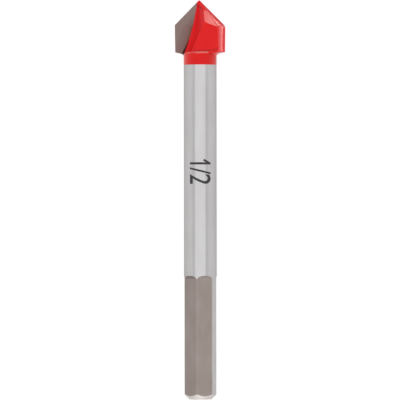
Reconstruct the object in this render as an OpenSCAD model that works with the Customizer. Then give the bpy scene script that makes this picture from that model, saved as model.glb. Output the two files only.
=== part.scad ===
// Glass and tile drill bit: a carbide spear head brazed to a steel shank with a hex drive end.
// The bit lies on its round shank, point towards +Y, with the photographed side up (+Z).
// The origin is the centre of the shank's end face. All sizes are in millimetres and degrees.

/* [Shank] */
// Diameter of the round shank
shank_d = 8.1; // [6:0.1:9.5]
// Length of the shank, from its end face to the seat of the head
shank_length = 85.3; // [60:0.1:140]
// Leg of the 45 degree chamfer around the shank's end
end_chamfer = 1.25; // [0.5:0.05:1.8]

/* [Hex drive] */
// Width of the hexagon across its flats
hex_across_flats = 7.2; // [5.4:0.1:7.6]
// Length of the flats, from the end face to the start of their runout
hex_length = 29.8; // [20:0.2:36]
// Radius of the hollow runout where each flat ends
hex_runout_r = 0.8; // [0.4:0.1:2]
// Turn of the first flat from the top of the lying bit
hex_turn = 17.4; // [0:0.2:30]

/* [Head] */
// Cutting diameter, across the outer corners of the two lips
cutting_d = 12.7; // [11.5:0.1:18]
// Height of the head, from its seat to the point
head_height = 13.2; // [11:0.1:20]
// Thickness of the head, between its two flat faces
head_thickness = 6; // [5:0.1:6.4]
// Angle of the point, between the two lips
point_angle = 90; // [80:1:110]
// How much lower the right lip is ground than the left one
lip_drop = 0.4; // [0:0.05:0.8]
// Lean of each side towards the seat
back_taper = 0.85; // [0:0.05:2]
// Rise of the wings' underside, from the braze fillet to their rim
underside_rise = 0.3; // [0.2:0.05:0.6]
// Turn of the head's front face from the top of the lying bit
head_turn = 12; // [0:0.5:12]

/* [Rake faces] */
// Distance of each ground rake face ahead of the axis
rake_offset = 0.2; // [0.1:0.05:0.5]
// Depth to which the rake face is ground below the land beside it
rake_step = 0.12; // [0.05:0.01:0.3]
// Radius of the wheel that the gash follows
gash_wheel_r = 50; // [35:1:80]
// Slope of the gash wall from the direction square to the rake face
gash_bevel = 42; // [20:1:50]
// Slope of the steeper facet that the gash wall has near the seat
gash_facet = 28; // [22:1:36]
// Lean of that facet to the right, from the seat towards the point
gash_facet_lean = 23; // [16:1:28]
// Distance of the gash wall's foot from the axis, at the height of the point
gash_at_point = 0.17; // [0.1:0.01:0.4]
// Distance of the gash wall's foot from the axis, at the seat
gash_at_seat = 3; // [2.4:0.05:3.4]
// Distance of the ground area's rim from the axis, at the height of the point
ground_at_point = 0.65; // [0.5:0.05:1]
// Distance of the ground area's rim from the axis, at the seat
ground_at_seat = 3.95; // [3.5:0.05:4.5]

/* [Relief] */
// Relief angle of the narrow land behind each lip
lip_relief = 7; // [4:1:10]
// Width of the relieved land behind each lip
lip_land = 2.3; // [1.8:0.05:2.6]
// Drop from the lip to the flat face's top edge, at the axis
heel_drop_axis = 4.8; // [4.4:0.1:5.2]
// Drop from the lip to the flat face's top edge, at the rim
heel_drop_rim = 0.6; // [0.4:0.05:1]
// Fall of the steep heel facet towards the flat face
heel_slope = 73; // [68:0.5:76]
// Fall of the heel facet that runs along the land
strip_slope = 49; // [40:1:56]
// Fall of the small facet at the point, towards the flat face
point_facet_slope = 47; // [42:1:52]
// Fall of that facet along the lip
point_facet_lean = 11; // [5:1:16]
// Fall of the hone in front of each lip, which shows at the point
lip_hone = 63; // [56:1:68]
// Width of the bevel between the flat face and the round margin, along the lip
side_bevel_w = 1.2; // [0.5:0.05:1.4]
// Depth of that bevel, square to the flat face
side_bevel_depth = 1.5; // [0.8:0.05:1.8]

/* [Braze joint] */
// Diameter of the round tenon under the head
tenon_d = 4.4; // [3:0.1:5]
// Length of the tenon
tenon_length = 4; // [2:0.1:6]
// Thickness of the braze between the head and the shank
braze_gap = 0.1; // [0.05:0.01:0.2]
// Size of the braze fillet under the wings
wing_fillet = 0.8; // [0.3:0.05:0.9]
// Rise of the sloping braze on the ledge in front of the flat faces
ledge_rise = 0.45; // [0.2:0.05:0.6]

/* [Hidden] */
$fn = 96;

shank_r = shank_d / 2;
hex_apothem = hex_across_flats / 2;
hex_sides = 6;
cutting_r = cutting_d / 2;
half_thickness = head_thickness / 2;
head_seat = shank_length + braze_gap;
point_z = head_seat + head_height;
wing_seat_r = shank_r + wing_fillet;

// Slope of the lips, and the fall of their relieved land per millimetre of depth
lip_slope = 1 / tan(point_angle / 2);
land_fall = tan(lip_relief) / sin(point_angle / 2);
// Heights at which the lines of the right and the left lip would cross the axis
left_peak_z = point_z + land_fall * rake_offset + lip_drop / 2;
right_peak_z = left_peak_z - lip_drop;
corner_z = left_peak_z - lip_slope * cutting_r;
rim_bottom_z = head_seat + underside_rise;
rim_bottom_r = cutting_r - (corner_z - rim_bottom_z) * tan(back_taper);

rake_land = rake_offset + rake_step;
socket_d = tenon_d + 2 * braze_gap;
socket_depth = tenon_length + braze_gap;

// Share by which a braze fillet's hollow is larger than the fillet, so that its edges aren't feathered
hollow_factor = 1.15;
// Shift of the fillets' own axis towards each wing, so that they thin out to the sides
fillet_shift = 3 * wing_fillet;
// Overrun of the cutting shapes past the surfaces that they cut
over = 1;
// A length beyond the size of the head
far = 3 * cutting_d;

// Lays the upright bit down: its axis from +Z to +Y, its front from -Y to +Z
module lay() {
  rotate([-90, 0, 0])
    children();
}

// Places a shape in both halves of the head, which are alike when turned half round
module both_halves() {
  for (turn = [0, 180])
    rotate(turn)
      children();
}

// Turns a flat shape so that its thickness runs to the front, from a distance d ahead of the axis
module towards_front(d) {
  translate([0, -d, 0])
    rotate([90, 0, 0])
      children();
}

module round_body() {
  rotate_extrude()
    polygon([
      [0, 0],
      [shank_r - end_chamfer, 0],
      [shank_r, end_chamfer],
      [shank_r, shank_length],
      [0, shank_length]
    ]);
}

// One milled flat: a straight cut that ends in a hollow runout
module flat_cut() {
  runout_centre = hex_apothem + hex_runout_r;
  rotate([90, 0, 0])
    linear_extrude(2 * shank_d, center = true) {
      translate([hex_apothem, -over])
        square([shank_r, hex_length + over]);
      translate([runout_centre, hex_length])
        circle(hex_runout_r);
      translate([runout_centre, hex_length])
        square([shank_r, hex_runout_r]);
    }
}

module head_socket() {
  translate([0, 0, shank_length - socket_depth])
    cylinder(d = socket_d, h = socket_depth + over);
}

module shank() {
  color([0.74, 0.73, 0.73])
    lay()
      difference() {
        round_body();
        for (i = [0:hex_sides - 1])
          rotate(hex_turn - 90 + i * 360 / hex_sides)
            flat_cut();
        head_socket();
      }
}

// The head before it is ground: a turned outline, cut to its two flat faces
module head_blank() {
  intersection() {
    rotate_extrude()
      polygon([
        [0, head_seat],
        [wing_seat_r, head_seat],
        [rim_bottom_r, rim_bottom_z],
        [cutting_r, corner_z],
        [cutting_r, point_z + over],
        [0, point_z + over]
      ]);
    translate([-far, -half_thickness, 0])
      cube([2 * far, head_thickness, point_z + 2 * over]);
  }
}

// Everything beyond the plane through three points, on the side from which they run anticlockwise
module beyond_plane(a, b, c) {
  normal = cross(b - a, c - a);
  lean = acos(normal.z / norm(normal));
  translate(a)
    rotate([0, lean, atan2(normal.y, normal.x)])
      translate([-far, -far, 0])
        cube([2 * far, 2 * far, far]);
}

// Point on the relieved land behind a lip: u along the lip from the axis, depth behind the lip
function on_land(peak_z, u, depth) =
  [u, rake_offset - depth, peak_z - lip_slope * u - land_fall * depth];

// Point on the flat face's top edge
function on_face_edge(peak_z, u) =
  [
    u,
    -half_thickness,
    peak_z - lip_slope * u - heel_drop_axis + (heel_drop_axis - heel_drop_rim) * u / cutting_r
  ];

// The relief of one lip: its land, a heel facet along the land, a steep one below that, the small facet
// at the point, and the hone in front of the lip
module relief_cut(peak_z) {
  point = [0, 0, point_z];
  lip_axis = on_land(peak_z, 0, 0);
  lip_rim = on_land(peak_z, cutting_r, 0);
  edge_axis = on_land(peak_z, 0, lip_land);
  edge_rim = on_land(peak_z, cutting_r, lip_land);
  face_axis = on_face_edge(peak_z, 0);
  face_rim = on_face_edge(peak_z, cutting_r);
  beyond_plane(edge_axis, edge_rim, lip_rim);
  beyond_plane(edge_axis, edge_rim - [0, 1, tan(strip_slope)], edge_rim);
  beyond_plane(face_axis, face_rim, face_rim + [0, 1, tan(heel_slope)]);
  beyond_plane(point, point + [1, 0, -tan(point_facet_lean)], point + [0, 1, tan(point_facet_slope)]);
  beyond_plane(lip_axis, lip_rim, lip_rim + [0, 1, -tan(lip_hone)]);
}

// Centre of a circle of radius r that passes at two distances left of the axis, at the point and the seat
function wheel_centre(r, at_point, at_seat) =
  let (
    rise = head_height,
    run = at_seat - at_point,
    chord = sqrt(rise * rise + run * run),
    reach = sqrt(r * r - chord * chord / 4)
  )
  [
    -(at_point + at_seat) / 2 - reach * rise / chord,
    (point_z + head_seat) / 2 + reach * run / chord
  ];

// The gash on the left: a wheel with a sloping rim, fed in to the land beside the rake face, up to the
// steeper facet near the seat
module gash_cut() {
  centre = wheel_centre(gash_wheel_r, gash_at_point, gash_at_seat);
  foot = [-gash_at_seat, -rake_land, head_seat];
  intersection() {
    translate([centre.x, 0, centre.y])
      towards_front(rake_land)
        cylinder(
          h = head_thickness,
          r1 = gash_wheel_r,
          r2 = gash_wheel_r + head_thickness * tan(gash_bevel),
          $fn = 360
        );
    beyond_plane(foot, foot + [tan(gash_facet), -1, 0], foot + [tan(gash_facet_lean), 0, 1]);
  }
}

// The ground area of the rake face, a step below the land
module rake_cut() {
  centre = wheel_centre(gash_wheel_r, ground_at_point, ground_at_seat);
  translate([centre.x, 0, centre.y])
    towards_front(rake_offset)
      cylinder(h = head_thickness, r = gash_wheel_r, $fn = 360);
}

// The bevel between the right side's flat face and its round margin
module side_bevel_cut() {
  margin_y = -half_thickness + side_bevel_depth;
  margin_x = sqrt(cutting_r * cutting_r - margin_y * margin_y);
  slope = atan2(side_bevel_w, side_bevel_depth);
  translate([margin_x, margin_y, 0])
    rotate(-slope)
      translate([0, -far, 0])
        cube([far, 2 * far, point_z + far]);
}

module head_body() {
  difference() {
    head_blank();
    relief_cut(right_peak_z);
    rotate(180)
      relief_cut(left_peak_z);
    both_halves() {
      gash_cut();
      rake_cut();
      side_bevel_cut();
    }
  }
}

module tenon() {
  translate([0, 0, head_seat - tenon_length])
    cylinder(d = tenon_d, h = tenon_length + over);
}

module carbide_head() {
  color([0.85, 0.13, 0.14])
    lay()
      rotate(-head_turn) {
        head_body();
        tenon();
      }
}

// Hollow fillets between the shank and the underside of the two wings
module wing_fillets() {
  reach = wing_seat_r - fillet_shift;
  centre = hollow_factor * wing_fillet;
  hollow_r = norm([centre, centre - wing_fillet]);
  both_halves()
    intersection() {
      difference() {
        translate([fillet_shift, 0, head_seat])
          rotate_extrude()
            difference() {
              translate([0, -wing_fillet])
                square([reach, wing_fillet]);
              translate([reach - wing_fillet + centre, -centre])
                circle(hollow_r);
            }
        cylinder(r = shank_r, h = point_z);
      }
      translate([0, -half_thickness, 0])
        cube([far, half_thickness + rake_offset, point_z]);
    }
}

// Sloping braze on the shank's ledge, along the foot of the two flat faces
module ledge_fillets() {
  ledge = shank_r - half_thickness;
  difference() {
    intersection() {
      both_halves()
        translate([0, -half_thickness, head_seat])
          rotate([90, 0, -90])
            linear_extrude(shank_d, center = true)
              polygon([[0, 0], [ledge, 0], [0, ledge_rise]]);
      translate([0, 0, head_seat])
        cylinder(r = shank_r, h = head_height);
    }
    both_halves()
      gash_cut();
  }
}

// Braze in the socket around the tenon, and between the seat and the shank's end
module braze_layer() {
  difference() {
    union() {
      translate([0, 0, shank_length - socket_depth])
        cylinder(d = socket_d, h = socket_depth);
      translate([0, 0, shank_length])
        cylinder(r = shank_r, h = braze_gap);
    }
    tenon();
  }
}

module braze_joint() {
  color([0.8, 0.12, 0.13])
    lay()
      rotate(-head_turn) {
        braze_layer();
        wing_fillets();
        ledge_fillets();
      }
}

shank();
carbide_head();
braze_joint();
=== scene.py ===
import math

import bpy
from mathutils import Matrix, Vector


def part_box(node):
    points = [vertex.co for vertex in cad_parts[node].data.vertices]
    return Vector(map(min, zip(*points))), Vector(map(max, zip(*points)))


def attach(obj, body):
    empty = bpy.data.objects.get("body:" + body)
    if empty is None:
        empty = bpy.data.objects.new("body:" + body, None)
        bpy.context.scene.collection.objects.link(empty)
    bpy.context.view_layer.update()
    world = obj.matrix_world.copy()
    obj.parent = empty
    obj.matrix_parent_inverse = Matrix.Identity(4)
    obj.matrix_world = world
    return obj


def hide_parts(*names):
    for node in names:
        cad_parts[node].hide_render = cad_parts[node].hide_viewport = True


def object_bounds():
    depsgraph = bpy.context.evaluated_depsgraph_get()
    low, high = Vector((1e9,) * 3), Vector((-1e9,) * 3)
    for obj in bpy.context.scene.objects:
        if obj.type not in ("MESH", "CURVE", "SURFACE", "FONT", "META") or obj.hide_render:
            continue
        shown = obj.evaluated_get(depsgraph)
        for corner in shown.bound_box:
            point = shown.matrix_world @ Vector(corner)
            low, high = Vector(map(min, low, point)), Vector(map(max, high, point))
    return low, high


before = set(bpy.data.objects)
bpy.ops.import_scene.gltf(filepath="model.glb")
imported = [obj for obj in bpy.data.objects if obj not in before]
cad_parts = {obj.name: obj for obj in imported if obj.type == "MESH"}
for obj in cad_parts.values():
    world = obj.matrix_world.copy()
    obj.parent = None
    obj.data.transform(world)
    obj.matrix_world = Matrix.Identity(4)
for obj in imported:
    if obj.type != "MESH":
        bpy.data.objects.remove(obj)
cad_low, cad_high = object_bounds()
scene = bpy.context.scene
scene.view_settings.view_transform = "Standard"

# Sizes of the bit, in metres, as the part has them
MM = 0.001
SHANK_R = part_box("shank")[1].x
CHAMFER = 1.25 * MM
RUNOUT_Y = 29.8 * MM
HEX_END = 30.6 * MM
SEAT_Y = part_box("shank")[1].y + 0.1 * MM
POINT_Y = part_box("carbide_head")[1].y
SHOULDER_Y = POINT_Y - 6.8 * MM
HEAD_TURN = math.radians(12)
RAKE = 0.2 * MM
HALF_THICKNESS = 3 * MM
SIDE_BEVEL = math.atan2(1.2, 1.5)
WHEEL_R = 50 * MM
GROUND_AT_POINT = 0.65 * MM
GROUND_AT_SEAT = 3.95 * MM

# The coat of paint and the printed size
PAINT_LINE_Y = 82.64 * MM
COAT = 0.03 * MM
MARK_TOP_Y = 59.26 * MM
MARK_HEIGHT = 5.5 * MM
STROKE = 0.55 * MM

# The camera, straight above the lying bit
LENS = 437.07
CAMERA_PLACE = (-0.073 * MM, 49.22 * MM, 1.2)
CAMERA_ROLL = -0.0012

# Points nearer than this are one point
SAME_POINT = 0.001 * MM


# Helpers for working on one piece at a time

def to_object_mode():
    bpy.ops.object.mode_set(mode="OBJECT")


def hold_only(piece):
    """Object mode, with one piece selected and active."""
    if bpy.context.object and bpy.context.object.mode != "OBJECT":
        to_object_mode()
    bpy.ops.object.select_all(action="DESELECT")
    piece.select_set(True)
    bpy.context.view_layer.objects.active = piece


def in_edit_mode(piece):
    hold_only(piece)
    bpy.ops.object.mode_set(mode="EDIT")


def edit_all(piece):
    """Edit mode, with all of a piece selected."""
    in_edit_mode(piece)
    bpy.ops.mesh.select_all(action="SELECT")


def select_nothing(piece, mode):
    """Object mode, with nothing of a piece selected, so that edges or faces can be picked."""
    in_edit_mode(piece)
    bpy.ops.mesh.select_mode(type=mode)
    bpy.ops.mesh.select_all(action="DESELECT")
    to_object_mode()


def copy_of_node(node, name):
    """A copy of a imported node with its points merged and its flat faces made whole."""
    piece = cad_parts[node].copy()
    piece.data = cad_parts[node].data.copy()
    piece.name = name
    piece.data.name = name
    scene.collection.objects.link(piece)
    piece.data.materials.clear()
    hold_only(piece)
    bpy.ops.mesh.customdata_custom_splitnormals_clear()
    edit_all(piece)
    bpy.ops.mesh.remove_doubles(threshold=SAME_POINT / 2)
    bpy.ops.mesh.dissolve_limited(angle_limit=math.radians(0.6))
    to_object_mode()
    return piece


def apply_all(piece):
    hold_only(piece)
    for modifier in list(piece.modifiers):
        bpy.ops.object.modifier_apply(modifier=modifier.name)


def smooth(piece, degrees):
    """Smooth shading, with the edges sharper than an angle kept sharp."""
    hold_only(piece)
    bpy.ops.object.shade_smooth_by_angle(angle=math.radians(degrees))


def round_off(piece, wanted, offset, segments, sharper_than):
    """Rounds the edges sharper than an angle, in degrees, for which wanted(a, b) is true."""
    select_nothing(piece, "EDGE")
    mesh = piece.data
    sides = {}
    for face in mesh.polygons:
        for key in face.edge_keys:
            sides.setdefault(key, []).append(face.normal)
    for edge in mesh.edges:
        normals = sides.get(edge.key, [])
        if len(normals) != 2 or normals[0].angle(normals[1], 0) < math.radians(sharper_than):
            continue
        a, b = (mesh.vertices[i].co for i in edge.vertices)
        edge.select = wanted(a, b)
    in_edit_mode(piece)
    bpy.ops.mesh.bevel(offset=offset, segments=segments, affect="EDGES")
    to_object_mode()


def give_finishes(piece, finishes, choose):
    """Gives each face the finish that choose(face) returns."""
    for finish in finishes:
        piece.data.materials.append(finish)
    for face in piece.data.polygons:
        face.material_index = finishes.index(choose(face))


def head_frame(p):
    """A point as the head's own frame has it: along the lips, to the front, along the axis."""
    c, s = math.cos(HEAD_TURN), math.sin(HEAD_TURN)
    return Vector((p.x * c + p.z * s, p.z * c - p.x * s, p.y))


def from_head(u, v):
    """A direction across the head, along the lips and to the front, as the bit's frame has it."""
    c, s = math.cos(HEAD_TURN), math.sin(HEAD_TURN)
    return Vector((u * c - v * s, 0, u * s + v * c))


def wheel_centre(at_point, at_seat):
    """The centre of the wheel that ground a rake face, along the lips and along the axis."""
    rise = POINT_Y - SEAT_Y
    run = at_seat - at_point
    chord = math.hypot(rise, run)
    reach = math.sqrt(WHEEL_R ** 2 - chord ** 2 / 4)
    return (
        -(at_point + at_seat) / 2 - reach * rise / chord,
        (POINT_Y + SEAT_Y) / 2 + reach * run / chord,
    )


# Helpers for shader nodes

def new_material(name, roughness, metallic=0.0):
    material = bpy.data.materials.new(name)
    material.use_nodes = True
    shader = material.node_tree.nodes["Principled BSDF"]
    shader.inputs["Roughness"].default_value = roughness
    shader.inputs["Metallic"].default_value = metallic
    return material, material.node_tree, shader


def link(tree, out_node, out_name, in_node, in_name):
    tree.links.new(out_node.outputs[out_name], in_node.inputs[in_name])


def add(tree, kind, **settings):
    node = tree.nodes.new(kind)
    for key, value in settings.items():
        setattr(node, key, value)
    return node


def calc(tree, operation, a, b=None):
    """A Math node; a and b are numbers or sockets."""
    node = add(tree, "ShaderNodeMath", operation=operation)
    for socket, value in zip(node.inputs, (a, b)):
        if value is None:
            continue
        if isinstance(value, (int, float)):
            socket.default_value = value
        else:
            tree.links.new(value, socket)
    return node.outputs["Value"]


def length_of(tree, a, b):
    """The length of a run and a rise."""
    squares = [calc(tree, "MULTIPLY", part, part) for part in (a, b)]
    return calc(tree, "SQRT", calc(tree, "ADD", *squares))


def object_place(tree):
    return add(tree, "ShaderNodeTexCoord").outputs["Object"]


def split(tree, place):
    """The three parts of a place."""
    parts = add(tree, "ShaderNodeSeparateXYZ")
    tree.links.new(place, parts.inputs["Vector"])
    return parts.outputs["X"], parts.outputs["Y"], parts.outputs["Z"]


def head_place(tree):
    """Place in the head's own frame: along the lips, along the axis, to the front."""
    turn = add(tree, "ShaderNodeMapping")
    turn.inputs["Rotation"].default_value = (0, HEAD_TURN, 0)
    tree.links.new(object_place(tree), turn.inputs["Vector"])
    return split(tree, turn.outputs["Vector"])


def to_the_right(tree, x, z):
    """How far to the right a place is, as seen from the front or from the back."""
    return calc(tree, "MULTIPLY", x, calc(tree, "SIGN", z))


def stretched_noise(tree, place, scale, detail=3.0):
    """Noise whose grain is stretched by a different scale along each axis."""
    mapping = add(tree, "ShaderNodeMapping")
    mapping.inputs["Scale"].default_value = scale
    tree.links.new(place, mapping.inputs["Vector"])
    noise = add(tree, "ShaderNodeTexNoise")
    noise.inputs["Scale"].default_value = 1
    noise.inputs["Detail"].default_value = detail
    link(tree, mapping, "Vector", noise, "Vector")
    return noise.outputs["Fac"]


def colour_ramp(tree, factor, stops):
    """A colour that runs through stops, each a position and a colour."""
    ramp = add(tree, "ShaderNodeValToRGB")
    elements = ramp.color_ramp.elements
    for position, _ in stops[1:-1]:
        elements.new(position)
    for element, (position, colour) in zip(elements, stops):
        element.position = position
        element.color = (*colour, 1)
    tree.links.new(factor, ramp.inputs["Fac"])
    return ramp.outputs["Color"]


def tone(tree, factor, dark, light):
    """Two tones of one colour, spread over the middle of a factor."""
    return colour_ramp(tree, factor, ((0.3, dark), (0.7, light)))


def spread(tree, factor, low, high):
    """A factor from 0 to 1 turned into a range of values."""
    node = add(tree, "ShaderNodeMapRange")
    node.inputs["To Min"].default_value = low
    node.inputs["To Max"].default_value = high
    tree.links.new(factor, node.inputs["Value"])
    return node.outputs["Result"]


def smooth_step(tree, value, zero_at, one_at):
    """0 at one value and 1 at another, with soft ends."""
    node = add(tree, "ShaderNodeMapRange", interpolation_type="SMOOTHSTEP")
    node.inputs["From Min"].default_value = zero_at
    node.inputs["From Max"].default_value = one_at
    tree.links.new(value, node.inputs["Value"])
    return node.outputs["Result"]


def blend_colours(tree, factor, first, second):
    """A mix of a colour socket and a plain colour."""
    # A Mix node has sockets for numbers, vectors and colours; these are the colours
    first_colour, second_colour, mixed_colour = 6, 7, 2
    mix = add(tree, "ShaderNodeMix", data_type="RGBA")
    tree.links.new(factor, mix.inputs["Factor"])
    tree.links.new(first, mix.inputs[first_colour])
    mix.inputs[second_colour].default_value = (*second, 1)
    return mix.outputs[mixed_colour]


def relief(tree, shader, height, depth, strength):
    bump = add(tree, "ShaderNodeBump")
    bump.inputs["Distance"].default_value = depth
    bump.inputs["Strength"].default_value = strength
    tree.links.new(height, bump.inputs["Height"])
    link(tree, bump, "Normal", shader, "Normal")


# Steel, carbide and ink

# Near-black, for painted shade in the gaps beside the bare rake faces
PAINTED_SHADE_BLACK = (0.03, 0.016, 0.013)


def satin_steel():
    material, tree, shader = new_material("satin_steel", roughness=0.2, metallic=1)
    place = object_place(tree)
    rings = stretched_noise(tree, place, scale=(60, 5200, 60))
    clouds = stretched_noise(tree, place, scale=(420, 110, 420), detail=4)
    colour = tone(tree, clouds, dark=(0.585, 0.572, 0.572), light=(0.635, 0.624, 0.626))
    tree.links.new(colour, shader.inputs["Base Color"])
    shader.inputs["Specular Tint"].default_value = (0.72, 0.7, 0.67, 1)
    tree.links.new(spread(tree, rings, low=0.15, high=0.25), shader.inputs["Roughness"])
    relief(tree, shader, rings, depth=0.004 * MM, strength=0.25)
    return material


def milled_steel(name, dark, light):
    material, tree, shader = new_material(name, roughness=0.42, metallic=1)
    place = object_place(tree)
    cuts = stretched_noise(tree, place, scale=(140, 2600, 140))
    clouds = stretched_noise(tree, place, scale=(300, 160, 300), detail=4)
    tree.links.new(tone(tree, clouds, dark, light), shader.inputs["Base Color"])
    tree.links.new(spread(tree, cuts, low=0.36, high=0.50), shader.inputs["Roughness"])
    relief(tree, shader, cuts, depth=0.006 * MM, strength=0.3)
    return material


def ground_carbide():
    material, tree, shader = new_material("ground_carbide", roughness=0.4, metallic=1)
    centre_u, centre_y = wheel_centre(GROUND_AT_POINT, GROUND_AT_SEAT)
    x, y, _ = head_place(tree)
    run = calc(tree, "SUBTRACT", calc(tree, "MULTIPLY", calc(tree, "ABSOLUTE", x), -1), centre_u)
    rise = calc(tree, "SUBTRACT", y, centre_y)
    distance = length_of(tree, run, rise)
    # Arcs that the wheel left, from its centre outwards
    arc_noise = add(tree, "ShaderNodeTexNoise", noise_dimensions="1D")
    arc_noise.inputs["Scale"].default_value = 5200
    arc_noise.inputs["Detail"].default_value = 4
    tree.links.new(distance, arc_noise.inputs["W"])
    arcs = arc_noise.outputs["Fac"]
    # Painted shade: a near-black line along the rim of the ground area, wider towards the seat
    shade_line_y, shade_line_slope = 89.26 * MM, 0.15
    inside = calc(tree, "SUBTRACT", WHEEL_R, distance)
    width = calc(tree, "MULTIPLY", calc(tree, "SUBTRACT", shade_line_y, y), shade_line_slope)
    past_shade_line = calc(tree, "SUBTRACT", inside, width)
    shade_line = smooth_step(tree, past_shade_line, zero_at=0.12 * MM, one_at=-0.04 * MM)
    # Browner towards the rim, where the wheel ran hot, but not by the point
    cool_y, cool_slope = 91.9 * MM, 0.6
    near_point = calc(tree, "MAXIMUM", calc(tree, "SUBTRACT", y, cool_y), 0)
    inside = calc(tree, "ADD", inside, calc(tree, "MULTIPLY", near_point, cool_slope))
    heat_width = 4 * MM
    heat = colour_ramp(tree, calc(tree, "DIVIDE", inside, heat_width), (
        (0.0625, (0.183, 0.078, 0.058)),
        (0.125, (0.208, 0.110, 0.088)),
        (0.1875, (0.230, 0.125, 0.116)),
        (0.4375, (0.238, 0.150, 0.141)),
        (0.75, (0.268, 0.193, 0.174)),
    ))
    ground = add(tree, "ShaderNodeVectorMath", operation="SCALE")
    tree.links.new(heat, ground.inputs["Vector"])
    tree.links.new(spread(tree, arcs, low=0.72, high=1.12), ground.inputs["Scale"])
    colour = blend_colours(tree, shade_line, ground.outputs["Vector"], PAINTED_SHADE_BLACK)
    tree.links.new(colour, shader.inputs["Base Color"])
    tree.links.new(spread(tree, arcs, low=0.34, high=0.48), shader.inputs["Roughness"])
    relief(tree, shader, arcs, depth=0.004 * MM, strength=0.2)
    return material


def printing_ink():
    material, tree, shader = new_material("printing_ink", roughness=0.55)
    shader.inputs["Specular IOR Level"].default_value = 0.3
    specks = stretched_noise(tree, object_place(tree), scale=(2600, 2600, 2600), detail=4)
    colour = tone(tree, specks, dark=(0.03, 0.029, 0.031), light=(0.06, 0.058, 0.06))
    tree.links.new(colour, shader.inputs["Base Color"])
    return material


# Paint, and what is laid over its colour, mostly painted shade and painted highlights: each gives
# the share of another colour, and that colour

def red_paint(
    name, dark, light, roughness, specular, sheen=0.0, sheen_roughness=0.35, painted_light_and_marks=()
):
    """Red paint in two tones, with painted shade, painted highlights and other marks laid over
    it.
    """
    material, tree, shader = new_material(name, roughness)
    shader.inputs["Specular IOR Level"].default_value = specular
    shader.inputs["Sheen Weight"].default_value = sheen
    shader.inputs["Sheen Roughness"].default_value = sheen_roughness
    shader.inputs["Sheen Tint"].default_value = (1, 0.72, 0.68, 1)
    place = object_place(tree)
    clouds = stretched_noise(tree, place, scale=(380, 380, 380))
    skin = stretched_noise(tree, place, scale=(1900, 1900, 1900), detail=2)
    colour = tone(tree, clouds, dark, light)
    for overlay in painted_light_and_marks:
        share, other = overlay(tree)
        colour = blend_colours(tree, share, colour, other)
    tree.links.new(colour, shader.inputs["Base Color"])
    relief(tree, shader, skin, depth=0.006 * MM, strength=0.2)
    return material


def painted_shade_above_ledge(tree):
    """Painted shade: a dark line in the corner between a flat face and the ledge."""
    height, curve = SEAT_Y + 0.55 * MM, 0.018 / MM
    x, y, z = head_place(tree)
    side = to_the_right(tree, x, z)
    rise = calc(tree, "MULTIPLY", calc(tree, "MULTIPLY", side, side), curve)
    line = calc(tree, "ADD", height, rise)
    away = calc(tree, "ABSOLUTE", calc(tree, "SUBTRACT", y, line))
    share = smooth_step(tree, away, zero_at=0.30 * MM, one_at=0.1 * MM)
    return share, (0.45, 0.008, 0.010)


def dark_line_at_point(tree):
    """A darker line across the top of a gash wall, below the point."""
    bends = ((-1.04 * MM, 97.64 * MM), (-0.17 * MM, 96.87 * MM), (0.62 * MM, 96.3 * MM))
    x, y, z = split(tree, object_place(tree))
    x = to_the_right(tree, x, z)
    nearest = 1.0
    for (x0, y0), (x1, y1) in zip(bends, bends[1:]):
        run, rise = x1 - x0, y1 - y0
        from_x = calc(tree, "SUBTRACT", x, x0)
        from_y = calc(tree, "SUBTRACT", y, y0)
        along = calc(
            tree, "ADD", calc(tree, "MULTIPLY", from_x, run), calc(tree, "MULTIPLY", from_y, rise)
        )
        share = calc(tree, "DIVIDE", along, run * run + rise * rise)
        share = calc(tree, "MINIMUM", calc(tree, "MAXIMUM", share, 0), 1)
        off_x = calc(tree, "SUBTRACT", from_x, calc(tree, "MULTIPLY", share, run))
        off_y = calc(tree, "SUBTRACT", from_y, calc(tree, "MULTIPLY", share, rise))
        nearest = calc(tree, "MINIMUM", length_of(tree, off_x, off_y), nearest)
    share = smooth_step(tree, nearest, zero_at=0.22 * MM, one_at=0.08 * MM)
    return share, (0.33, 0.010, 0.010)


def painted_shade_on_braze(tree):
    """Painted shade: the braze under the bare rake faces, made near-black."""
    x, _, z = head_place(tree)
    side = to_the_right(tree, x, z)
    return smooth_step(tree, side, zero_at=-3.75 * MM, one_at=-3.95 * MM), PAINTED_SHADE_BLACK


def painted_highlight_on_fillet(tree):
    """Painted highlight: the fillet under a painted wing, made pale pink."""
    x, _, z = head_place(tree)
    side = to_the_right(tree, x, z)
    return smooth_step(tree, side, zero_at=2.8 * MM, one_at=3.6 * MM), (0.86, 0.11, 0.095)


def painted_highlight_on_heel(tree):
    """Painted highlight: the heel facets behind the lips, made paler towards the margin."""
    x, y, z = head_place(tree)
    out = smooth_step(tree, to_the_right(tree, x, z), zero_at=1.2 * MM, one_at=3.2 * MM)
    up = smooth_step(tree, y, zero_at=91.0 * MM, one_at=91.8 * MM)
    return calc(tree, "MULTIPLY", out, up), (0.72, 0.095, 0.080)


def painted_highlight_on_rim(tree):
    """Painted highlight: the rolled rim of the neck's coat, made pale."""
    middle = 0.9 * MM
    x, y, z = split(tree, object_place(tree))
    side = to_the_right(tree, x, z)
    aside = calc(tree, "ABSOLUTE", calc(tree, "SUBTRACT", side, middle))
    up = smooth_step(tree, y, zero_at=SEAT_Y - 0.10 * MM, one_at=SEAT_Y + 0.14 * MM)
    inwards = smooth_step(tree, aside, zero_at=3.2 * MM, one_at=0.4 * MM)
    return calc(tree, "MULTIPLY", up, inwards), (0.75, 0.14, 0.115)


# The finishes

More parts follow.
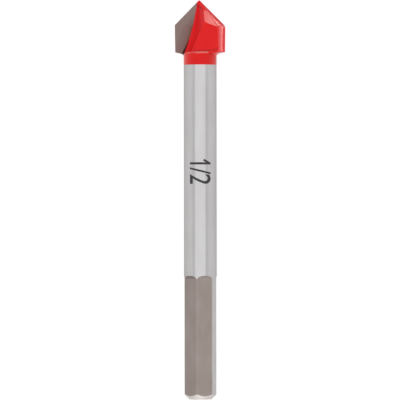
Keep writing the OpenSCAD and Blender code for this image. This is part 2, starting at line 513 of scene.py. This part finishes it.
STEEL = satin_steel()
# Milled flats, darker and warmer than the round shank: partly their own finish, partly painted
# shade
MILLED = milled_steel("milled_steel", (0.337, 0.283, 0.259), (0.389, 0.331, 0.307))
# Painted light: the flats facing right, lighter as if reflecting the bright floor
LIT_MILLED = milled_steel("milled_steel_painted_light", (0.565, 0.545, 0.545), (0.63, 0.61, 0.61))
# Painted shade: the runouts facing left, darker as if facing away from the light
SHADED = milled_steel("milled_steel_painted_shade", (0.262, 0.222, 0.205), (0.296, 0.252, 0.235))
# Turned end chamfer; its lighter base is partly painted light from the end of the bar
TURNED_AND_LIT = milled_steel("turned_steel_painted_light", (0.72, 0.670, 0.640), (0.77, 0.720, 0.690))
PAINT = red_paint(
    "gloss_red_paint", (0.69, 0.007, 0.007), (0.745, 0.009, 0.009),
    roughness=0.2, specular=0.2, sheen=0.26, painted_light_and_marks=[painted_highlight_on_heel],
)
# Painted shade: the lip lands, in a duller and darker red than the gloss paint
LAND_PAINT = red_paint(
    "land_red_paint_painted_shade", (0.60, 0.008, 0.010), (0.66, 0.012, 0.013),
    roughness=0.5, specular=0.1,
)
GASH_PAINT = red_paint(
    "deep_red_paint", (0.63, 0.006, 0.009), (0.69, 0.008, 0.011),
    roughness=0.24, specular=0.14, sheen=0.05, painted_light_and_marks=[dark_line_at_point],
)
FACE_PAINT = red_paint(
    "face_red_paint", (0.68, 0.005, 0.006), (0.735, 0.007, 0.008),
    roughness=0.2, specular=0.2, sheen=0.18, painted_light_and_marks=[painted_shade_above_ledge],
)
EDGE_PAINT = red_paint(
    "dark_red_paint", (0.38, 0.006, 0.008), (0.44, 0.008, 0.010),
    roughness=0.4, specular=0.1,
)
BEVEL_PAINT = red_paint(
    "bevel_red_paint", (0.68, 0.005, 0.006), (0.735, 0.007, 0.008),
    roughness=0.36, specular=0.2, sheen=0.1,
)
# Painted light: the side-facing margins, in a lighter red than the flat faces
LIT_MARGIN_PAINT = red_paint(
    "margin_red_paint_painted_light", (0.80, 0.012, 0.014), (0.86, 0.016, 0.018),
    roughness=0.5, specular=0.1, sheen=0.12,
)
BRAZE_PAINT = red_paint(
    "braze_red_paint", (0.64, 0.006, 0.007), (0.70, 0.008, 0.009),
    roughness=0.5, specular=0.1, sheen=0.3, sheen_roughness=0.5,
    painted_light_and_marks=[painted_highlight_on_rim, painted_highlight_on_fillet, painted_shade_on_braze],
)
NECK_PAINT = red_paint(
    "neck_red_paint", (0.64, 0.004, 0.005), (0.70, 0.006, 0.006),
    roughness=0.34, specular=0.1, sheen=0.60, sheen_roughness=0.5, painted_light_and_marks=[painted_highlight_on_rim],
)
CARBIDE = ground_carbide()
INK = printing_ink()


# The shank: a copy of the node with its end edges rounded, the milled flats in their own finish

END_RIM_Y = 0.2 * MM


def end_rim(a, b):
    """Whether an edge is on the rim of the end face."""
    return max(a.y, b.y) < END_RIM_Y


def chamfer_top(a, b):
    """Whether an edge is where the end chamfer meets the flats and the lands."""
    return min(a.y, b.y) > END_RIM_Y and max(a.y, b.y) < CHAMFER + 0.3 * MM


def shank_finish(face):
    """The finish of one face of the shank."""
    centre, normal = face.center, face.normal
    end_face_r = 2 * MM
    if centre.y >= HEX_END or math.hypot(centre.x, centre.z) <= end_face_r:
        return STEEL
    # The end chamfer, its lighter base partly painted light
    if centre.y < CHAMFER and normal.y < -0.1:
        return TURNED_AND_LIT
    # Painted light on the flats facing right
    if normal.x > 0.6:
        return LIT_MILLED
    # Painted shade on the runouts facing left
    if centre.y > RUNOUT_Y and normal.x < -0.2:
        return SHADED
    return MILLED


def shank_bar():
    piece = copy_of_node("shank", "shank_bar")
    # A cut where the runouts start, so that the lands between the flats end there
    edit_all(piece)
    bpy.ops.mesh.bisect(plane_co=(0, RUNOUT_Y, 0), plane_no=(0, 1, 0))
    to_object_mode()
    round_off(piece, end_rim, offset=0.05 * MM, segments=3, sharper_than=20)
    round_off(piece, chamfer_top, offset=0.06 * MM, segments=3, sharper_than=20)
    give_finishes(piece, [STEEL, MILLED, LIT_MILLED, TURNED_AND_LIT, SHADED], shank_finish)
    smooth(piece, degrees=18)
    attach(piece, "root")
    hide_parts("shank")
    return piece


# The head: a copy of the node with soft painted edges, its rake faces bare

def soft_edge(a, b):
    """Whether an edge is a plain painted one, away from the seat, the rakes and the shoulder."""
    a, b = head_frame(a), head_frame(b)
    outside = min(a.z, b.z) > SEAT_Y + 0.05 * MM
    off_rake = min(abs(a.y), abs(b.y)) > 0.5 * MM
    middle = (a + b) / 2
    level = abs(middle.z - SHOULDER_Y) < 0.6 * MM
    by_shoulder = level and middle.x > 5.5 * MM and middle.y < 1.7 * MM
    return outside and off_rake and not by_shoulder


def right_shoulder(a, b):
    """Whether an edge is between the right lip's land and its margin."""
    a, b = head_frame(a), head_frame(b)
    reach = min(math.hypot(a.x, a.y), math.hypot(b.x, b.y))
    level = abs(a.z - b.z) < 1 * MM and min(a.z, b.z) > POINT_Y - 8 * MM
    on_right = min(a.x, b.x) > 0 and max(a.y, b.y) < 1.8 * MM
    return level and on_right and reach > 6.2 * MM


def strip_edge(a, b):
    """Whether an edge is the slanted one between the two heel facets."""
    upper, lower = sorted((head_frame(a), head_frame(b)), key=lambda place: -place.z)
    slanted = lower.z < 93 * MM and upper.z > 95 * MM
    out = min(abs(upper.x), abs(lower.x)) > 1.8 * MM
    return slanted and out and abs(lower.y) > abs(upper.y) + 0.5 * MM


def wall_edge(a, b):
    """Whether an edge is the upright one between a gash wall and a flat face."""
    a, b = head_frame(a), head_frame(b)
    on_face = min(abs(a.y), abs(b.y)) > HALF_THICKNESS - 0.02 * MM
    upright = abs(a.z - b.z) > 0.8 * (b - a).length
    return on_face and upright and max(abs(a.x), abs(b.x)) < 3 * MM


def round_side_bevels(piece, bulge, strips):
    """Grinds the flat bevel beside each margin slightly round."""
    mesh = piece.data
    for side in (1, -1):
        out = from_head(side * math.cos(SIDE_BEVEL), side * math.sin(SIDE_BEVEL))
        across = from_head(-side * math.sin(SIDE_BEVEL), side * math.cos(SIDE_BEVEL))

        def bevel_faces():
            return [face for face in mesh.polygons if face.normal.dot(out) > 0.999]

        def bevel_corners():
            return {i for face in bevel_faces() for i in face.vertices}

        corners = bevel_corners()
        places = [mesh.vertices[i].co.dot(across) for i in corners]
        low, high = min(places), max(places)
        depth = mesh.vertices[next(iter(corners))].co.dot(out)
        for step in range(1, strips):
            select_nothing(piece, "FACE")
            for face in bevel_faces():
                face.select = True
            in_edit_mode(piece)
            bpy.ops.mesh.bisect(
                plane_co=across * (low + (high - low) * step / strips) + out * depth,
                plane_no=across,
            )
            to_object_mode()
        for i in bevel_corners():
            place = 2 * (mesh.vertices[i].co.dot(across) - low) / (high - low) - 1
            mesh.vertices[i].co += out * bulge * (1 - place * place)
        mesh.update()


def on_margin(normal, centre):
    """Whether a face is on one of the round margins."""
    reach = math.hypot(centre.x, centre.y)
    outwards = normal.x * centre.x + normal.y * centre.y
    return reach > 5.9 * MM and outwards / reach > 0.97


def by_the_point(face, normal, centre):
    """Whether a face is on the dark edge between a gash wall and the facets at the point."""
    side = 1 if centre.y > 0 else -1
    small = face.area < 0.15 * MM * MM
    near = 93.2 * MM < centre.z < 96.6 * MM and side * centre.y > 0.3 * MM
    return small and near and -0.64 < side * normal.x < 0.02


def on_side_bevel(normal):
    """Whether a face is on the bevel between a flat face and a margin."""
    return abs(normal.z) < 0.1 and normal.x * normal.y > 0.4


def on_gash(normal, centre):
    """Whether a face is the land beside a rake face or the gash wall next to it."""
    side = 1 if centre.y > 0 else -1
    across, front = side * normal.x, side * normal.y
    on_land = front > 0.7 and across < 0.05 and abs(normal.z) < 0.35
    on_wall = across < -0.5 and front > 0.35 and abs(normal.z) < 0.45
    return abs(centre.y) < HALF_THICKNESS - 0.15 * MM and (on_land or on_wall)


def head_finish(face):
    """The finish of one face of the head."""
    normal = head_frame(face.normal)
    centre = head_frame(face.center)
    faces_front = abs(normal.y) > 0.99
    if faces_front and abs(abs(centre.y) - RAKE) < 0.03 * MM:
        return CARBIDE
    # The lip lands, in paint darkened as painted shade
    if normal.z > 0.65 and abs(normal.y) < 0.2:
        return LAND_PAINT
    # The margins, in paint lightened as painted light
    if on_margin(normal, centre):
        return LIT_MARGIN_PAINT
    if faces_front and abs(centre.y) > HALF_THICKNESS - 0.1 * MM:
        return FACE_PAINT
    if by_the_point(face, normal, centre):
        return EDGE_PAINT
    if on_side_bevel(normal):
        return BEVEL_PAINT
    if on_gash(normal, centre):
        return GASH_PAINT
    return PAINT


def painted_head():
    piece = copy_of_node("carbide_head", "painted_head")
    sharp = 12
    round_off(piece, right_shoulder, offset=0.3 * MM, segments=4, sharper_than=sharp)
    round_side_bevels(piece, bulge=0.06 * MM, strips=10)
    round_off(piece, strip_edge, offset=0.25 * MM, segments=5, sharper_than=sharp)
    round_off(piece, wall_edge, offset=0.4 * MM, segments=6, sharper_than=sharp)
    round_off(piece, soft_edge, offset=0.08 * MM, segments=3, sharper_than=sharp)
    finishes = [
        PAINT, LAND_PAINT, CARBIDE, GASH_PAINT, LIT_MARGIN_PAINT, FACE_PAINT, EDGE_PAINT, BEVEL_PAINT
    ]
    give_finishes(piece, finishes, head_finish)
    smooth(piece, degrees=25)
    weighted = piece.modifiers.new("even_faces", "WEIGHTED_NORMAL")
    weighted.keep_sharp = True
    weighted.weight = 80
    apply_all(piece)
    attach(piece, "root")
    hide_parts("carbide_head")
    return piece


# The coat on the neck: turned from its section, with a rolled rim in front of the flat faces

RIM_START = SEAT_Y - 0.24 * MM
RIM_DEPTH = 0.9 * MM
RIM_RISE = 0.62 * MM


def neck_section():
    """The closed section of the coat, as radius and place along the axis."""
    outer_r, inner_r, rim_inner_r = SHANK_R + COAT, SHANK_R - 0.02 * MM, 2.9 * MM
    thin_edge, under_rim, rim_steps = 0.06 * MM, 0.02 * MM, 12
    section = [(inner_r, PAINT_LINE_Y - thin_edge), (outer_r, PAINT_LINE_Y), (outer_r, RIM_START)]
    for step in range(1, rim_steps + 1):
        angle = math.radians(90 * step / rim_steps)
        section.append((
            outer_r - RIM_DEPTH * (1 - math.cos(angle)),
            RIM_START + RIM_RISE * math.sin(angle),
        ))
    section.append((rim_inner_r, RIM_START + RIM_RISE))
    # Back to the start, inside the shank and the head
    section.append((rim_inner_r, RIM_START - under_rim))
    section.append((inner_r, RIM_START - under_rim))
    section.append(section[0])
    return section


def shape_rim(piece):
    """Lets the rolled rim rise aside of the flat faces, and end under the wings."""
    rise_aside, flat_top, fade = 0.28 * MM, SEAT_Y - 0.02 * MM, 12
    limit_right, limit_left = 52, 32
    for vertex in piece.data.vertices:
        place = head_frame(vertex.co)
        reach = math.hypot(place.x, place.y)
        if vertex.co.y <= RIM_START - 0.01 * MM or reach <= 3 * MM:
            continue
        # Share of the rolled rim that is left, by the turn from the middle of the flat face
        aside = math.degrees(math.atan2(abs(place.x), abs(place.y)))
        limit = limit_right if place.x * place.y > 0 else limit_left
        share = min(max((limit - aside) / fade, 0), 1)
        fall = SHANK_R * math.cos(math.radians(aside)) - HALF_THICKNESS
        fall = max(fall / (SHANK_R - HALF_THICKNESS), 0)
        vertex.co.y += rise_aside * (1 - fall) ** 2
        vertex.co.y = share * vertex.co.y + (1 - share) * min(vertex.co.y, flat_top)
        wide = share + (1 - share) * max((SHANK_R + 0.5 * COAT) / reach, 1)
        vertex.co.x *= wide
        vertex.co.z *= wide


def neck_coat():
    section = neck_section()
    bpy.ops.object.select_all(action="DESELECT")
    bpy.ops.mesh.primitive_plane_add(size=1 * MM, location=(0, 0, 0))
    piece = bpy.context.object
    piece.name = piece.data.name = "neck_coat"
    bpy.ops.object.mode_set(mode="EDIT")
    bpy.ops.mesh.select_mode(type="VERT")
    bpy.ops.mesh.select_all(action="SELECT")
    bpy.ops.mesh.merge(type="CENTER")
    radius, along = section[0]
    bpy.ops.transform.translate(value=(radius, along, 0))
    for (r0, y0), (r1, y1) in zip(section, section[1:]):
        step = (r1 - r0, y1 - y0, 0)
        bpy.ops.mesh.extrude_region_move(TRANSFORM_OT_translate={"value": step})
    bpy.ops.mesh.select_all(action="SELECT")
    bpy.ops.mesh.spin(steps=128, angle=math.tau, center=(0, 0, 0), axis=(0, 1, 0))
    bpy.ops.mesh.select_all(action="SELECT")
    bpy.ops.mesh.remove_doubles(threshold=SAME_POINT)
    bpy.ops.mesh.normals_make_consistent(inside=False)
    to_object_mode()
    shape_rim(piece)
    # Where the rim ends its rows of points fall together
    edit_all(piece)
    bpy.ops.mesh.remove_doubles(threshold=3 * SAME_POINT)
    bpy.ops.mesh.dissolve_degenerate(threshold=SAME_POINT)
    to_object_mode()
    piece.data.materials.append(NECK_PAINT)
    smooth(piece, degrees=40)
    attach(piece, "root")
    return piece


# The size printed on the shank, reading towards its end and wrapped round it

def stroke(start, end, width, lift=0.0):
    """A flat stroke of the printed size, from one point to another."""
    run, rise = end[0] - start[0], end[1] - start[1]
    middle = ((start[0] + end[0]) / 2, (start[1] + end[1]) / 2, lift)
    bpy.ops.mesh.primitive_plane_add(size=1, location=middle)
    bpy.ops.transform.resize(value=(width, math.hypot(run, rise), 1))
    bpy.context.object.rotation_euler.z = math.atan2(-run, rise)
    bpy.ops.object.transform_apply(location=True, rotation=True, scale=True)
    return bpy.context.object


def figure_two(left, width):
    """The flat figure 2, with its left edge and its width."""
    bpy.ops.object.text_add(location=(0, 0, 0))
    words = bpy.context.object
    words.data.body = "2"
    words.data.size = 8 * MM
    words.data.offset = 0.05 * MM
    words.data.resolution_u = 8
    bpy.ops.object.convert(target="MESH")
    piece = bpy.context.object
    low = [min(v.co[i] for v in piece.data.vertices) for i in range(2)]
    high = [max(v.co[i] for v in piece.data.vertices) for i in range(2)]
    in_edit_mode(piece)
    bpy.ops.mesh.select_mode(type="VERT")
    bpy.ops.mesh.select_all(action="SELECT")
    bpy.ops.mesh.remove_doubles(threshold=SAME_POINT)
    bpy.ops.transform.translate(value=(-low[0], -(low[1] + high[1]) / 2, 0))
    bpy.ops.transform.resize(
        value=(width / (high[0] - low[0]), MARK_HEIGHT / (high[1] - low[1]), 1),
        center_override=(0, 0, 0),
    )
    to_object_mode()
    # A wider bowl than the base
    bowl, full_at = 0.14, MARK_HEIGHT / 4
    for vertex in piece.data.vertices:
        vertex.co.x *= 1 + bowl * min(max(vertex.co.y / full_at, 0), 1)
        vertex.co.x += left
    return piece


def wrap_round_shank(piece, lift):
    """Bends a flat figure round the shank, a little above its surface."""
    for vertex in piece.data.vertices:
        run, up, above = vertex.co
        radius = SHANK_R + lift + above
        angle = up / radius
        vertex.co = (radius * math.sin(angle), MARK_TOP_Y - run, radius * math.cos(angle))


def size_mark():
    half = MARK_HEIGHT / 2
    one_x = 1.01 * MM
    strokes = [
        stroke((one_x, -half), (one_x, half), STROKE),
        stroke((0.10 * MM, 0.30 * half), (one_x, 0.88 * half), 0.95 * STROKE, lift=0.002 * MM),
        stroke((2.18 * MM, -half), (3.50 * MM, half), 0.85 * STROKE),
    ]
    piece = figure_two(left=3.66 * MM, width=2.41 * MM)
    piece.name = piece.data.name = "size_mark"
    hold_only(piece)
    for part in strokes:
        part.select_set(True)
    bpy.ops.object.join()
    # Cuts across the height, so that the strokes can follow the round shank
    strips = 22
    in_edit_mode(piece)
    for step in range(1, strips):
        height = MARK_HEIGHT * (step / strips - 0.5)
        bpy.ops.mesh.select_all(action="SELECT")
        bpy.ops.mesh.bisect(plane_co=(0, height, 0), plane_no=(0, 1, 0))
    to_object_mode()
    wrap_round_shank(piece, lift=0.006 * MM)
    edit_all(piece)
    bpy.ops.mesh.normals_make_consistent(inside=False)
    to_object_mode()
    if sum(face.normal.z for face in piece.data.polygons) < 0:
        edit_all(piece)
        bpy.ops.mesh.flip_normals()
        to_object_mode()
    piece.data.materials.append(INK)
    film = piece.modifiers.new("ink_film", "SOLIDIFY")
    film.thickness = 0.01 * MM
    film.offset = -1
    apply_all(piece)
    smooth(piece, degrees=40)
    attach(piece, "root")
    return piece


bar = shank_bar()
head = painted_head()
neck = neck_coat()
size_mark()

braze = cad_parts["braze_joint"]
braze.data.materials.clear()
braze.data.materials.append(BRAZE_PAINT)


# The floor, white to the camera, that keeps a soft shadow

def white_floor():
    bpy.ops.object.select_all(action="DESELECT")
    bpy.ops.mesh.primitive_plane_add(size=30, location=(0, 0, cad_low.z - 0.01 * MM))
    floor = bpy.context.object
    floor.name = floor.data.name = "floor"
    material = bpy.data.materials.new("white_floor")
    material.use_nodes = True
    tree = material.node_tree
    tree.nodes.clear()
    output = add(tree, "ShaderNodeOutputMaterial")
    matt = add(tree, "ShaderNodeBsdfDiffuse")
    matt.inputs["Color"].default_value = (0.2, 0.2, 0.2, 1)
    # How strongly the floor glows, and what is added for each kind of ray that meets it
    glow = add(tree, "ShaderNodeEmission")
    ray = add(tree, "ShaderNodeLightPath").outputs
    seen = calc(tree, "MAXIMUM", ray["Is Glossy Ray"], ray["Is Transmission Ray"])
    level = 0.55
    for kind, extra in ((ray["Is Camera Ray"], 0.32), (ray["Is Diffuse Ray"], 0.2), (seen, 0.05)):
        level = calc(tree, "ADD", level, calc(tree, "MULTIPLY", kind, extra))
    tree.links.new(level, glow.inputs["Strength"])
    both = add(tree, "ShaderNodeAddShader")
    tree.links.new(matt.outputs["BSDF"], both.inputs[0])
    tree.links.new(glow.outputs["Emission"], both.inputs[1])
    link(tree, both, "Shader", output, "Surface")
    floor.data.materials.append(material)
    return floor


# The sky and the lamps

def studio_sky():
    world = bpy.data.worlds.new("studio_sky")
    scene.world = world
    world.use_nodes = True
    tree = world.node_tree
    tree.nodes.clear()
    output = add(tree, "ShaderNodeOutputWorld")
    x, _, z = split(tree, add(tree, "ShaderNodeTexCoord").outputs["Generated"])
    # A long strip of light overhead, and paler walls to both sides of it
    lean = calc(tree, "ARCTAN2", calc(tree, "ABSOLUTE", x), z)
    levels = ((0.0, 1.04), (0.39, 1.04), (0.45, 0.70), (0.58, 0.74), (0.70, 0.84), (1.0, 0.84))
    stops = [(position, (level, level, level)) for position, level in levels]
    studio = add(tree, "ShaderNodeBackground")
    greys = colour_ramp(tree, calc(tree, "DIVIDE", lean, math.pi / 2), stops)
    tree.links.new(greys, studio.inputs["Color"])
    white = add(tree, "ShaderNodeBackground")
    white.inputs["Color"].default_value = (1, 1, 1, 1)
    light_path = add(tree, "ShaderNodeLightPath")
    mix = add(tree, "ShaderNodeMixShader")
    tree.links.new(light_path.outputs["Is Camera Ray"], mix.inputs[0])
    tree.links.new(studio.outputs["Background"], mix.inputs[1])
    tree.links.new(white.outputs["Background"], mix.inputs[2])
    link(tree, mix, "Shader", output, "Surface")


def softbox(name, place, aim, width, height, power, only, gloss_only=False):
    """A lamp with a soft face that lights only the pieces given."""
    lamp = bpy.data.lights.new(name, "AREA")
    lamp.shape = "RECTANGLE"
    lamp.size = width
    lamp.size_y = height
    lamp.energy = power
    holder = bpy.data.objects.new(name, lamp)
    scene.collection.objects.link(holder)
    holder.location = place
    holder.rotation_euler = (Vector(aim) - Vector(place)).to_track_quat("-Z", "Y").to_euler()
    holder.visible_camera = False
    holder.visible_diffuse = not gloss_only
    lit = bpy.data.collections.new("lit_by_" + name)
    for piece in only:
        lit.objects.link(piece)
    holder.light_linking.receiver_collection = lit


floor = white_floor()
studio_sky()
softbox(
    "tip_softbox", place=(-0.10, 0.365, 0.41), aim=(0, 0.092, 0),
    width=0.10, height=0.10, power=0.34, only=[head, neck, braze, floor],
)
softbox(
    "low_right_softbox", place=(0.0856, 0.2028, 0.008), aim=(0, 0.094, 0.003),
    width=0.03, height=0.024, power=0.03, only=[head], gloss_only=True,
)
softbox(
    "side_softbox", place=(0.25, 0.09, 0.015), aim=(0, 0.09, 0.003),
    width=0.04, height=0.02, power=0.34, only=[head], gloss_only=True,
)
softbox(
    "low_front_softbox", place=(0.02, 0.48, 0.15), aim=(0, 0.085, 0),
    width=0.75, height=0.25, power=8, only=[neck], gloss_only=True,
)
softbox(
    "end_softbox", place=(0, -0.35, 0.01), aim=(0, 0, 0),
    width=0.2, height=0.02, power=0.04, only=[bar], gloss_only=True,
)


def photo_camera():
    view = bpy.data.cameras.new("photo_camera")
    view.sensor_width = 36
    view.lens = LENS
    view.clip_start = 0.05
    view.clip_end = 60
    holder = bpy.data.objects.new("photo_camera", view)
    scene.collection.objects.link(holder)
    holder.location = CAMERA_PLACE
    holder.rotation_euler = (0, 0, CAMERA_ROLL)
    scene.camera = holder


photo_camera()
